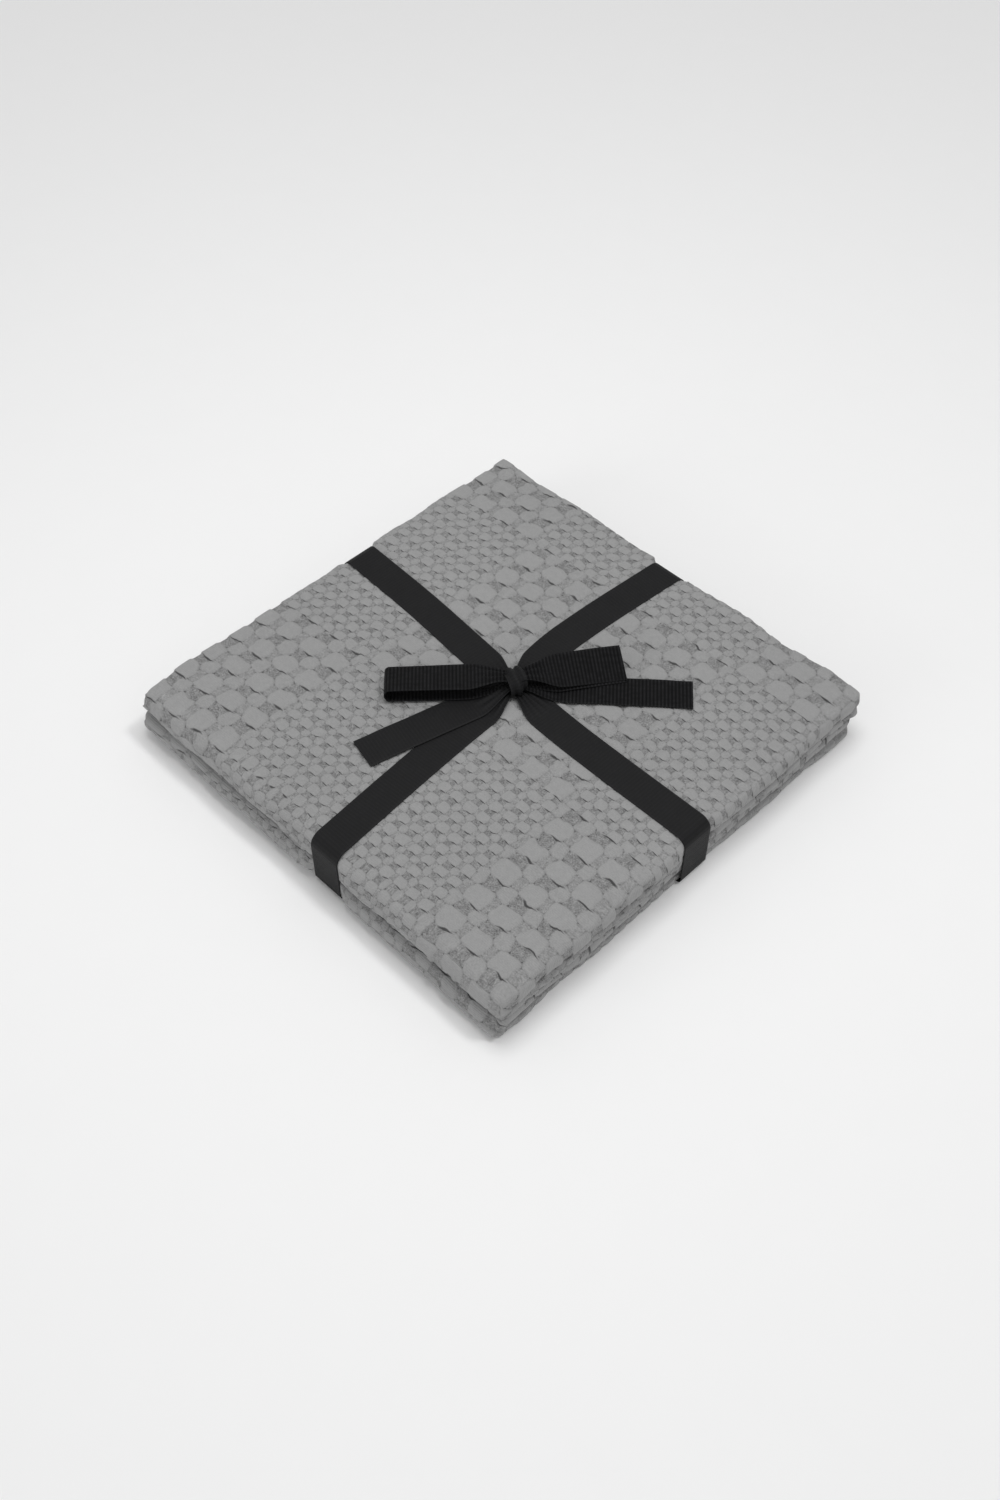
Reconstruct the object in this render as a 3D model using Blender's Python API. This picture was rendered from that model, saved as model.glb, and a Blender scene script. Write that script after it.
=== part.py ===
"""Two folded bath towels, stacked and tied crosswise with a ribbon and a bow.

Metres, +Z up. The origin is the centre of the stack's underside. -Y is the side
where both towels show one smooth fold; the other three sides show the edges of
the two leaves of each towel. The ribbon is one length on the real object; here
it is divided into its two bands, the knot, two loops and two tails, and each
tail into the stretch held under the bow and the end that lifts.
"""
import math
from collections import namedtuple

import bmesh
import bpy
from mathutils import Vector

# Driving dimensions ---------------------------------------------------------
TOWEL_CUT = (0.70, 1.40)                # one bath towel, flat
FOLDED = TOWEL_CUT[0] / 2               # side of the folded square
LOWER_THICK = 0.0210                    # eight plies of the lower towel
UPPER_THICK = 0.0237                    # eight plies of the upper towel
TOUCH = 0.0003                          # gap between pieces that touch
RIBBON_WIDTH = 0.025
RIBBON_THICK = 0.0006

# Folded towels --------------------------------------------------------------
LIP_ROUND = 0.0080                      # how far a leaf's round edge reaches in
LOWER_NOTCH = 0.50                      # height of the slit between the leaves,
UPPER_NOTCH = 0.40                      # as a share of the towel's thickness
CORNER_ROUND = 0.014                    # corner radius seen from above
LOWER_INSET = 0.0022                    # the lower towel is this much smaller
LOWER_SHIFT = (-0.0018, -0.0018)        # and lies this far off centre
LIP_STEPS = 6
CORNER_STEPS = 5

# Ribbon bands ---------------------------------------------------------------
# Where each band's middle runs over the top: (distance along its main axis,
# distance aside). It goes straight back underneath from the last to the first.
BAND_X_WAY = ((-0.175, 0.0225), (-0.100, 0.0185), (-0.050, 0.0135), (0.0045, 0.0080),
              (0.050, 0.0042), (0.100, 0.0035), (0.175, 0.0035))
BAND_Y_WAY = ((-0.175, 0.0165), (-0.100, 0.0100), (-0.050, 0.0065), (0.0080, 0.0045),
              (0.050, -0.0040), (0.100, -0.0028), (0.175, 0.0025))
BAND_SINK = 0.0015                      # how far a band is pulled into the sides
BAND_TURN = 0.0085                      # bend radius over the stack's edges
BAND_LOWEST = TOUCH                     # the X band's underside, clear of the floor
BAND_CROSSING = BAND_LOWEST + RIBBON_THICK + TOUCH
GROOVE_SIDE = 0.0005                    # play beside a band in its groove
GROOVE_OUT = 0.005                      # how far a groove's cutter reaches outwards
BAND_REACH = FOLDED / 2 - BAND_SINK - RIBBON_THICK / 2
TURN_STEPS = 5
ON_TOP = 1e-6                           # heights this close count as level

# Bow ------------------------------------------------------------------------
KNOT_AT = (0.0045, 0.0080)              # both bands run through this point
KNOT_RADIUS = 0.0070
KNOT_HEIGHT = 0.0125
GATHER_WIDTH = 0.010                    # the ribbon's width where it is gathered
GATHER_LENGTH = 0.030                   # and the length over which it opens out
BOW_START = KNOT_RADIUS + 0.0006        # where loops, tails and bands begin
LOOP_RISE = 0.0105                      # height of a loop's upper run at the knot
LOOP_FLOOR = 0.0014                     # height of a loop's lower run
LOOP_STEPS = 6
LEFT_LOOP = dict(heading=226.5, reach=0.088, top=0.0115, end_top=0.0105, roll=4.0)
RIGHT_LOOP = dict(heading=57.0, reach=0.077, top=0.0115, end_top=0.0100, roll=20.0)
LEFT_TAIL = dict(heading=256.0, reach=0.117, lift_from=0.060)
RIGHT_TAIL = dict(heading=41.5, reach=0.122, lift_from=0.085)

TOWEL_COLOUR = (0.275, 0.275, 0.275, 1.0)
RIBBON_COLOUR = (0.012, 0.012, 0.012, 1.0)

STACK_TOP = LOWER_THICK + TOUCH + UPPER_THICK
BAND_TOP = STACK_TOP - RIBBON_THICK / 2     # middle of a band's thickness on top

Station = namedtuple("Station", "centre across half_width")


def clear_scene():
    for old in list(bpy.data.objects):
        bpy.data.objects.remove(old)


def make_material(name, colour, roughness):
    material = bpy.data.materials.new(name)
    material.use_nodes = True
    shader = material.node_tree.nodes["Principled BSDF"]
    shader.inputs["Base Color"].default_value = colour
    shader.inputs["Roughness"].default_value = roughness
    shader.inputs["Metallic"].default_value = 0.0
    return material


def add_object(name, mesh_builder, material):
    """Turn a finished bmesh into a linked object."""
    bmesh.ops.recalc_face_normals(mesh_builder, faces=mesh_builder.faces)
    mesh = bpy.data.meshes.new(name)
    mesh_builder.to_mesh(mesh)
    mesh_builder.free()
    body = bpy.data.objects.new(name, mesh)
    bpy.context.scene.collection.objects.link(body)
    if material:
        mesh.materials.append(material)
    return body


def join_rings(rings, endless=False):
    """A closed body through rings of equal length: its ends filled, or joined to each other."""
    mesh_builder = bmesh.new()
    loops = [[mesh_builder.verts.new(point) for point in ring] for ring in rings]
    count = len(rings[0])
    following = loops[1:] + [loops[0]] if endless else loops[1:]
    for lower, upper in zip(loops, following):
        for i in range(count):
            j = (i + 1) % count
            mesh_builder.faces.new((lower[i], lower[j], upper[j], upper[i]))
    if not endless:
        mesh_builder.faces.new(loops[0])
        mesh_builder.faces.new(loops[-1])
    return mesh_builder


# Towels ---------------------------------------------------------------------
def towel_outline(side_inset, fold_inset, half, shift):
    """Rounded rectangle; only the -Y side takes the fold's own inset."""
    reach_x = half - side_inset
    y_low = -half + fold_inset
    y_high = half - side_inset
    radius = CORNER_ROUND - 0.5 * side_inset
    corners = (
        (reach_x, y_low, -90.0),
        (reach_x, y_high, 0.0),
        (-reach_x, y_high, 90.0),
        (-reach_x, y_low, 180.0),
    )
    outline = []
    for corner_x, corner_y, first in corners:
        middle_x = corner_x - math.copysign(radius, corner_x)
        middle_y = corner_y - math.copysign(radius, corner_y)
        for step in range(CORNER_STEPS + 1):
            angle = math.radians(first + 90.0 * step / CORNER_STEPS)
            x = shift[0] + middle_x + radius * math.cos(angle)
            y = shift[1] + middle_y + radius * math.sin(angle)
            outline.append((x, y))
    return outline


def leaf_levels(low, high):
    """Heights and insets down the round edge of one leaf."""
    levels = []
    for step in range(LIP_STEPS + 1):
        angle = math.pi * step / LIP_STEPS
        z = low + (high - low) * (1 - math.cos(angle)) / 2
        levels.append((z, LIP_ROUND * (1 - math.sin(angle))))
    return levels


def folded_towel(name, low, thickness, notch, inset, shift, material):
    """Two leaves with round edges, joined by one full fold along -Y."""
    high = low + thickness
    slit = low + thickness * notch
    levels = leaf_levels(low, slit) + leaf_levels(slit, high)[1:]
    half = FOLDED / 2 - inset
    fold_radius = thickness / 2
    middle = low + fold_radius
    rings = []
    for z, side_inset in levels:
        rise = min(1.0, abs(z - middle) / fold_radius)
        fold_inset = fold_radius * (1 - math.sqrt(1 - rise * rise))
        outline = towel_outline(side_inset, fold_inset, half, shift)
        rings.append([(x, y, z) for x, y in outline])
    return add_object(name, join_rings(rings), material)


# Ribbon ---------------------------------------------------------------------
def strip(name, stations, thickness, material, outward=0.0, endless=False):
    """A flat closed strip through its stations, square cut at both ends.

    outward moves the strip's outer face that much further out, which is how
    the groove cutters are made from the bands' own stations.
    """
    rings = []
    count = len(stations)
    for i, station in enumerate(stations):
        before = stations[i - 1 if endless else max(i - 1, 0)].centre
        after = stations[(i + 1) % count if endless else min(i + 1, count - 1)].centre
        along = (after - before).normalized()
        normal = along.cross(station.across).normalized()
        side = station.across * station.half_width
        inner = station.centre - normal * (thickness / 2)
        outer = station.centre + normal * (thickness / 2 + outward)
        rings.append([inner - side, inner + side, outer + side, outer - side])
    return add_object(name, join_rings(rings, endless), material)


def gathered_half_width(distance):
    """Half the ribbon's width at a distance from the knot's middle."""
    share = min(1.0, max(0.0, (distance - BOW_START) / GATHER_LENGTH))
    return (GATHER_WIDTH + (RIBBON_WIDTH - GATHER_WIDTH) * share) / 2


def aside(way, main, on_top):
    """How far aside a band's middle lies at a place along its main axis, and its slope."""
    if not on_top:
        way = (way[0], way[-1])
    for (start, side_start), (end, side_end) in zip(way, way[1:]):
        if main <= end:
            break
    slope = (side_end - side_start) / (end - start)
    return side_start + slope * (main - start), slope


def band_profile(way, knot, low, high):
    """(place along the main axis, height) from the knot, round the stack and back."""
    turn = BAND_TURN
    bend = BAND_REACH - turn
    opened = BOW_START + GATHER_LENGTH
    between = [main for main, _ in way[1:-1]]
    points = [(knot + BOW_START, high), (knot + opened, high)]
    points += [(main, high) for main in between if main > knot + opened]
    corners = (
        (bend, high - turn, 90.0, 0.0),
        (bend, low + turn, 0.0, -90.0),
        (-bend, low + turn, -90.0, -180.0),
        (-bend, high - turn, 180.0, 90.0),
    )
    for middle, middle_z, first, final in corners:
        for step in range(TURN_STEPS + 1):
            angle = math.radians(first + (final - first) * step / TURN_STEPS)
            points.append((middle + turn * math.cos(angle), middle_z + turn * math.sin(angle)))
    points += [(main, high) for main in between if main < knot - opened]
    points += [(knot - opened, high), (knot - BOW_START, high)]
    return points


def band_stations(way, axis, low):
    """Stations of a band that runs along axis 0 (X) or 1 (Y)."""
    knot = KNOT_AT[axis]
    half_height = (low + BAND_TOP) / 2
    stations = []
    for main, z in band_profile(way, knot, low, BAND_TOP):
        side, slope = aside(way, main, z > half_height)
        if abs(main) > BAND_REACH - BAND_TURN - ON_TOP:
            slope = 0.0                     # square to the stack over its edges
        tilt = math.hypot(1.0, slope)
        centre = Vector((main, side, z))
        across = Vector((-slope / tilt, 1.0 / tilt, 0.0))
        if axis == 1:
            centre = Vector((side, main, z))
            across = Vector((-1.0 / tilt, slope / tilt, 0.0))
        on_top = z > BAND_TOP - ON_TOP
        half_width = gathered_half_width(abs(main - knot)) if on_top else RIBBON_WIDTH / 2
        stations.append(Station(centre, across, half_width))
    return stations


def cut_groove(name, stations, towels):
    """Cut a band's groove, of constant width all the way round, from both towels."""
    full = RIBBON_WIDTH / 2 + GROOVE_SIDE
    round_the_stack = [Station(s.centre, s.across, full) for s in stations]
    cutter = strip(name, round_the_stack, RIBBON_THICK + 2 * TOUCH, None, GROOVE_OUT, endless=True)
    cutter.hide_render = True
    cutter.display_type = "WIRE"
    for towel in towels:
        cut = towel.modifiers.new(name, "BOOLEAN")
        cut.operation = "DIFFERENCE"
        cut.solver = "EXACT"
        cut.object = cutter


# Bow ------------------------------------------------------------------------
def bow_point(heading, distance, height):
    angle = math.radians(heading)
    x = KNOT_AT[0] + distance * math.cos(angle)
    y = KNOT_AT[1] + distance * math.sin(angle)
    return Vector((x, y, STACK_TOP + height))


def rolled_across(heading, roll):
    """Width direction, turned about the heading so that its left side rises."""
    angle = math.radians(heading + 90.0)
    tilt = math.radians(roll)
    level = math.cos(tilt)
    return Vector((level * math.cos(angle), level * math.sin(angle), math.sin(tilt)))


def bow_knot(material):
    """The wrap round the middle of the bow: a squat ball with a flat foot."""
    foot = -RIBBON_THICK
    rings = []
    for level in range(1, 8):
        angle = math.pi * level / 8
        z = STACK_TOP + foot + KNOT_HEIGHT * (1 - math.cos(angle)) / 2
        radius = KNOT_RADIUS * math.sin(angle) ** 0.6
        ring = []
        for step in range(12):
            turn = 2 * math.pi * step / 12
            x = KNOT_AT[0] + radius * math.cos(turn)
            y = KNOT_AT[1] + radius * math.sin(turn)
            ring.append((x, y, z))
        rings.append(ring)
    return add_object("bow_knot", join_rings(rings), material)


def bow_loop(name, heading, reach, top, end_top, roll, material):
    """Out along the upper run, round the open end and back under it."""
    end_radius = (end_top - LOOP_FLOOR) / 2
    turn_at = reach - end_radius
    route = [(BOW_START, LOOP_RISE, 0.0), (0.4 * turn_at, top, 0.4 * roll), (0.75 * turn_at, top, roll)]
    for step in range(LOOP_STEPS + 1):
        angle = math.radians(90.0 - 180.0 * step / LOOP_STEPS)
        distance = turn_at + end_radius * math.cos(angle)
        height = LOOP_FLOOR + end_radius + end_radius * math.sin(angle)
        route.append((distance, height, roll * (1 - step / LOOP_STEPS)))
    route += [(0.55 * turn_at, LOOP_FLOOR, 0.0), (0.030, LOOP_FLOOR + 0.0006, 0.0), (BOW_START, 0.0055, 0.0)]
    stations = []
    for distance, height, tilt in route:
        centre = bow_point(heading, distance, height)
        stations.append(Station(centre, rolled_across(heading, tilt), gathered_half_width(distance)))
    return strip(name, stations, RIBBON_THICK, material)


def bow_tail(name, heading, reach, lift_from, material):
    """The stretch held under the bow, and the free end that lifts."""
    rest = TOUCH + RIBBON_THICK / 2
    held_route = [(BOW_START, 0.0025), (0.018, rest), (BOW_START + GATHER_LENGTH, rest), (lift_from, rest)]
    free_route = [(lift_from + TOUCH, rest), ((lift_from + reach) / 2, rest), (reach, rest)]
    pieces = []
    for suffix, route in (("_held", held_route), ("_end", free_route)):
        stations = []
        for distance, height in route:
            centre = bow_point(heading, distance, height)
            across = rolled_across(heading, 0.0)
            stations.append(Station(centre, across, gathered_half_width(distance)))
        pieces.append(strip(name + suffix, stations, RIBBON_THICK, material))
    return pieces


def build():
    clear_scene()
    cotton = make_material("towel_cotton", TOWEL_COLOUR, 0.95)
    grosgrain = make_material("ribbon_grosgrain", RIBBON_COLOUR, 0.6)

    lower = folded_towel("towel_lower", 0.0, LOWER_THICK, LOWER_NOTCH,
                         LOWER_INSET, LOWER_SHIFT, cotton)
    upper = folded_towel("towel_upper", LOWER_THICK + TOUCH, UPPER_THICK, UPPER_NOTCH,
                         0.0, (0.0, 0.0), cotton)

    bands = (
        ("ribbon_band_x", BAND_X_WAY, 0, BAND_LOWEST + RIBBON_THICK / 2),
        ("ribbon_band_y", BAND_Y_WAY, 1, BAND_CROSSING + RIBBON_THICK / 2),
    )
    for name, way, axis, low in bands:
        stations = band_stations(way, axis, low)
        strip(name, stations, RIBBON_THICK, grosgrain)
        cut_groove(name + "_groove", stations, (lower, upper))

    bow_knot(grosgrain)
    bow_loop("bow_loop_left", material=grosgrain, **LEFT_LOOP)
    bow_loop("bow_loop_right", material=grosgrain, **RIGHT_LOOP)
    bow_tail("bow_tail_left", material=grosgrain, **LEFT_TAIL)
    bow_tail("bow_tail_right", material=grosgrain, **RIGHT_TAIL)


build()
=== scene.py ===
"""Two folded bath towels tied crosswise with a grosgrain ribbon and a bow.

Metres, +Z up, the stack's underside centred on the origin. The towels are real
sheets: each starts flat, takes its woven relief there, and is then folded into
eight plies. The ribbon is thin strips that follow their own centre lines.
"""

import math

import bmesh
import bpy
import numpy as np
from bpy.props import FloatProperty, FloatVectorProperty, IntProperty, PointerProperty
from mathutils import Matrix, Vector


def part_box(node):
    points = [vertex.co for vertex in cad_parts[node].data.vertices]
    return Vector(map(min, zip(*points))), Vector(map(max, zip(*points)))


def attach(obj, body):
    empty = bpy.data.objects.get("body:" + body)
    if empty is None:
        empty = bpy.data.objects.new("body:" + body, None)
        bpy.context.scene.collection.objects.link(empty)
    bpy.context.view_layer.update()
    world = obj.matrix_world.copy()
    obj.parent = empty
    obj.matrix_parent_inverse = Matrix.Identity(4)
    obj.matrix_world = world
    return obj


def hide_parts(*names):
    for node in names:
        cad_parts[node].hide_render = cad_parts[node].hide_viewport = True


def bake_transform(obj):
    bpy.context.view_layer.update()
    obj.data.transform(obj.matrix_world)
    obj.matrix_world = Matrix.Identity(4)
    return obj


bl_info = {
    "name": "Tied bath towels",
    "version": (1, 0, 0),
    "blender": (4, 5, 0),
    "location": "3D View > Sidebar > Towels",
    "description": "Two folded bath towels with a ribbon and a bow",
    "category": "Add Mesh",
}

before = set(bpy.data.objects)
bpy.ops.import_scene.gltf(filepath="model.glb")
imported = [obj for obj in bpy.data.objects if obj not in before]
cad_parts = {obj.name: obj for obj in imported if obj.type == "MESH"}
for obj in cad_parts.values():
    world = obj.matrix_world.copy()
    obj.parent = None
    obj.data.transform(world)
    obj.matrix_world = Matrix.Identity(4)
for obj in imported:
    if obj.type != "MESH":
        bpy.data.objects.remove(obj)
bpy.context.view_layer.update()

# Stack ------------
UPPER_LOW, UPPER_HIGH = (corner.z for corner in map(Vector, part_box("towel_upper")))
LOWER_LOW, LOWER_HIGH = (corner.z for corner in map(Vector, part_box("towel_lower")))
STACK_TOP = UPPER_HIGH
STACK_HALF = Vector(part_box("towel_upper")[1]).x
LOWER_HALF = STACK_HALF - 0.0022
LOWER_SHIFT = (-0.0018, -0.0018)
PLY_GAP = 0.0001
TURN_SHARE = 0.97                       # cloth round a fold, as a share of its half circle
CORNER_RADIUS = 0.0035

# Woven cells: blocks of large cells and of small cells in a check ------------
BLOCK_AT = (0.098, -0.040)              # a corner where four blocks meet
BLOCK_CELLS = (8, 7)                    # large cells in a block, across and along
CELL_LEAN = 0.07                        # how strongly the rows lean towards -X
CELL_LEAN_FROM = 0.12
CELL_WANDER = 75.0                      # how often the rows wander, per metre
# Centre, half size, squareness and shoulder of each kind of tile, in cells
TILES = (((0.52, 0.29), (0.415, 0.350), 4.0, 0.52),     # big
         ((0.02, 0.79), (0.280, 0.290), 3.4, 0.60),     # light
         ((0.02, 0.29), (0.175, 0.280), 2.9, 0.70),     # low
         ((0.53, 0.81), (0.275, 0.220), 4.0, 0.50),     # sunk
         ((0.70, 0.980), (0.28, 0.030), 2.0, 0.8))      # slit at a rim
LIGHT_HEIGHT, LOW_HEIGHT, SUNK_HEIGHT, SLIT_DEPTH = 0.86, 0.62, 0.26, 0.12
THREAD_PITCH = 0.00135

# Bands ------------
BAND_X_WAY = ((-0.175, 0.0225), (-0.100, 0.0185), (-0.050, 0.0135), (0.0045, 0.0080),
              (0.050, 0.0042), (0.100, 0.0035), (0.175, 0.0035))
BAND_Y_WAY = ((-0.175, 0.0165), (-0.100, 0.0100), (-0.050, 0.0065), (0.0080, 0.0045),
              (0.050, -0.0040), (0.100, -0.0028), (0.175, 0.0025))
BAND_REACH = 0.1742
BAND_TURNS = (0.0035, 0.0080)           # bend radius underneath and on top
BAND_TOP = STACK_TOP - 0.0003
BAND_LOWS = (0.0006, 0.0015)            # middle of each band's thickness underneath
BAND_START = 0.0035                     # where a band comes out from the knot
BAND_NEAR = 0.045                       # its stretch beside the knot, with finer rows
NEAR_STEP, FAR_STEP, UNDER_STEP = 0.0010, 0.0018, 0.004
PRESS_MARGIN = 0.0006                   # cloth pressed flat beside a band
PRESS_DEPTH = 0.00055                   # cloth under a band lies this far inside its line
PRESS_RISE = 9.0                        # how steeply cloth rises beside a band
PRESS_REACH = 0.012                     # beyond this a band presses nothing

# Ribbon ------------
FINE_RIB_PITCH = 0.00085
WARP_PITCH = 0.00050
SELVEDGE = 0.0014

# Bow ------------
KNOT_AT = (0.0045, 0.0080)
KNOT_HEADING = 72.0
BOW_START = 0.0076
GATHER_LENGTH = 0.025
GATHER_SHARE = 0.44
LEFT_LOOP = dict(heading=226.5, reach=0.088, rise=0.0115, end_rise=0.0105, roll=6.0, low_roll=0.0)
RIGHT_LOOP = dict(heading=57.0, reach=0.077, rise=0.0101, end_rise=0.0081, roll=30.0, low_roll=10.0)
LEFT_TAIL = dict(heading=256.0, reach=0.117, lift_from=0.060)
RIGHT_TAIL = dict(heading=41.5, reach=0.122, lift_from=0.085)
KNOT_HALF_WIDTH, KNOT_HALF_HEIGHT, KNOT_RISE = 0.0078, 0.0054, 0.0058

# Stage ------------
FLOOR_GAP = 0.0002                      # keeps the floor clear of the cloth lying on it
CAMERA_LENS = 38.09
CAMERA_AZIMUTH, CAMERA_ELEVATION, CAMERA_FAR = 45.163, 49.944, 1.11762
CAMERA_AIM = (0.0060, -0.0069, -0.0077)


# Settings ------------
class TowelSettings(bpy.types.PropertyGroup):
    """Sizes and colour of the towelling"""
    cell_across: FloatProperty(name="Cell across", description="Large cell's size along X",
                               default=0.02333, min=0.005, unit="LENGTH", precision=5)
    cell_along: FloatProperty(name="Cell along", description="Large cell's size along Y",
                              default=0.0240, min=0.005, unit="LENGTH", precision=5)
    relief: FloatProperty(name="Relief", description="Depth of the sunk cells",
                          default=0.0011, min=0.0, unit="LENGTH", precision=5)
    colour: FloatVectorProperty(name="Colour", description="Colour of the raised loops",
                                default=(0.285, 0.285, 0.285), size=3, min=0.0, max=1.0, subtype="COLOR")
    seed: IntProperty(name="Seed", description="Seed of the cloth's unevenness", default=7)


class RibbonSettings(bpy.types.PropertyGroup):
    """Sizes and colour of the ribbon"""
    width: FloatProperty(name="Width", description="Width of the ribbon",
                         default=0.025, min=0.005, unit="LENGTH")
    thickness: FloatProperty(name="Thickness", description="Thickness of the ribbon",
                             default=0.0004, min=0.0001, unit="LENGTH", precision=5)
    rib_pitch: FloatProperty(name="Rib pitch", description="Distance from one rib to the next",
                             default=0.0025, min=0.0004, unit="LENGTH", precision=5)
    rib_height: FloatProperty(name="Rib height", description="Height of a rib",
                              default=0.00030, min=0.0, unit="LENGTH", precision=5)
    colour: FloatVectorProperty(name="Colour", description="Colour of the yarn",
                                default=(0.0085, 0.0085, 0.0090), size=3, min=0.0, max=1.0, subtype="COLOR")


class StageSettings(bpy.types.PropertyGroup):
    """Floor and light"""
    floor_size: FloatProperty(name="Floor size", description="Side of the square floor",
                              default=8.0, min=1.0, unit="LENGTH")
    key_strength: FloatProperty(name="Key strength", description="Strength of the slanting key light",
                                default=0.66, min=0.0)
    fill_strength: FloatProperty(name="Fill strength", description="Strength of the low soft light in front",
                                 default=0.70, min=0.0)
    overhead_power: FloatProperty(name="Overhead power", description="Power of the soft light overhead",
                                  default=5.5, min=0.0, unit="POWER")
    sky: FloatProperty(name="Sky", description="Strength of the light from all round",
                       default=0.50, min=0.0)


# Arithmetic as nodes ------------
class Term:
    """A number in a node tree; sums written with it become math nodes."""

    def __init__(self, tree, socket):
        self.tree = tree
        self.socket = socket

    def do(self, operation, *others, clamp=False):
        node = self.tree.nodes.new("ShaderNodeMath")
        node.operation = operation
        node.use_clamp = clamp
        for slot, value in zip(node.inputs, (self,) + others):
            if isinstance(value, Term):
                self.tree.links.new(value.socket, slot)
            else:
                slot.default_value = value
        return Term(self.tree, node.outputs[0])

    def __add__(self, other):
        return self.do("ADD", other)

    def __mul__(self, other):
        return self.do("MULTIPLY", other)

    def __sub__(self, other):
        return self.do("SUBTRACT", other)

    def __truediv__(self, other):
        return self.do("DIVIDE", other)

    def under(self, whole):
        """The whole less this number."""
        return (self * -1.0) + whole

    def clamped(self):
        return self.do("ADD", 0.0, clamp=True)


def xyz(tree, socket):
    """The three numbers of a vector."""
    node = tree.nodes.new("ShaderNodeSeparateXYZ")
    tree.links.new(socket, node.inputs[0])
    return [Term(tree, output) for output in node.outputs]


def vector(tree, *parts):
    """A vector from three numbers or terms."""
    node = tree.nodes.new("ShaderNodeCombineXYZ")
    for slot, part in zip(node.inputs, parts):
        if isinstance(part, Term):
            tree.links.new(part.socket, slot)
        else:
            slot.default_value = part
    return node.outputs[0]


def wrapped(place, centre):
    """Signed distance from the nearest centre of a pattern that repeats once per unit."""
    return (place + (0.5 - centre)).do("FRACT") - 0.5


def tile(a, b, centre, half, power, shoulder):
    """Height of a woven tile, repeated once per unit: 1 on its top and 0 at its rim."""
    x = (wrapped(a, centre[0]) / half[0]).do("ABSOLUTE").do("POWER", power)
    y = (wrapped(b, centre[1]) / half[1]).do("ABSOLUTE").do("POWER", power)
    return ((x + y).under(1.0) / shoulder).clamped()


def woven_cells(tree, across, along, cell_across, cell_along):
    """Height, roughness and crease of the checked weave at a place on the cloth.

    Height runs from 1 on the large tiles to 0 between them, roughness from 0 on
    level loops to 1 in the sunk ones, and the shaded crease is 1 in the lines round the tiles
    and in the slits at a rim. The cotton paints shade with the roughness and the shaded crease.
    """
    place = vector(tree, across, along, 0.0)
    aside_place = vector(tree, across + 0.7, along + 0.4, 0.0)
    lean = across.under(CELL_LEAN_FROM)
    along = along + (lean * lean) * (CELL_LEAN / 0.6)
    a = (across - BLOCK_AT[0]) / cell_across
    b = (along - BLOCK_AT[1]) / cell_along
    block = (a / BLOCK_CELLS[0]).do("FLOOR") + (b / BLOCK_CELLS[1]).do("FLOOR")
    small = block.do("PINGPONG", 1.0).under(1.0)
    wander = small * -0.12 + 0.30
    a = (a + (noise(tree, place, CELL_WANDER, 1.0) - 0.5) * wander) * (small + 1.0)
    b = (b + (noise(tree, aside_place, CELL_WANDER, 1.0) - 0.5) * wander) * (small + 1.0)
    big, light, low, sunk, slit = (tile(a, b, *shape) for shape in TILES)
    height = big.do("MAXIMUM", light * LIGHT_HEIGHT).do("MAXIMUM", low * LOW_HEIGHT)
    height = height.do("MAXIMUM", sunk * SUNK_HEIGHT)
    covered = big.do("MAXIMUM", light).do("MAXIMUM", low).do("MAXIMUM", sunk)
    # Mask of painted shade: the lines round the tiles and the slits between leaves.
    shaded_crease = (covered * 1.8).under(1.0).clamped().do("MAXIMUM", slit * 0.85)
    rough = big.do("MAXIMUM", light * 0.9).do("MAXIMUM", low * 0.45).under(1.0)
    return height - slit * SLIT_DEPTH, rough, shaded_crease, small


def wave(place, pitch, kind="COSINE"):
    """A wave between 0 and 1 that repeats at a pitch."""
    return (place * (2 * math.pi / pitch)).do(kind) * 0.5 + 0.5


# Geometry trees ------------
def new_geometry_tree(name, sizes):
    """A geometry tree with a mesh input, named float inputs and a material input."""
    tree = bpy.data.node_groups.new(name, "GeometryNodeTree")
    tree.interface.new_socket("Geometry", in_out="INPUT", socket_type="NodeSocketGeometry")
    for size in sizes:
        tree.interface.new_socket(size, in_out="INPUT", socket_type="NodeSocketFloat")
    tree.interface.new_socket("Material", in_out="INPUT", socket_type="NodeSocketMaterial")
    tree.interface.new_socket("Geometry", in_out="OUTPUT", socket_type="NodeSocketGeometry")
    return tree, tree.nodes.new("NodeGroupInput")


def close_tree(tree, group_input, geometry):
    """Realize, give the material and hand the result out."""
    realize = tree.nodes.new("GeometryNodeRealizeInstances")
    finish = tree.nodes.new("GeometryNodeSetMaterial")
    output = tree.nodes.new("NodeGroupOutput")
    tree.links.new(geometry, realize.inputs[0])
    tree.links.new(realize.outputs[0], finish.inputs["Geometry"])
    tree.links.new(group_input.outputs["Material"], finish.inputs["Material"])
    tree.links.new(finish.outputs[0], output.inputs[0])


def set_position(tree, geometry, position=None, offset=None):
    """Move the points to a position or by an offset."""
    node = tree.nodes.new("GeometryNodeSetPosition")
    tree.links.new(geometry, node.inputs["Geometry"])
    if position is not None:
        tree.links.new(position, node.inputs["Position"])
    if offset is not None:
        tree.links.new(offset, node.inputs["Offset"])
    return node.outputs[0]


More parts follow.
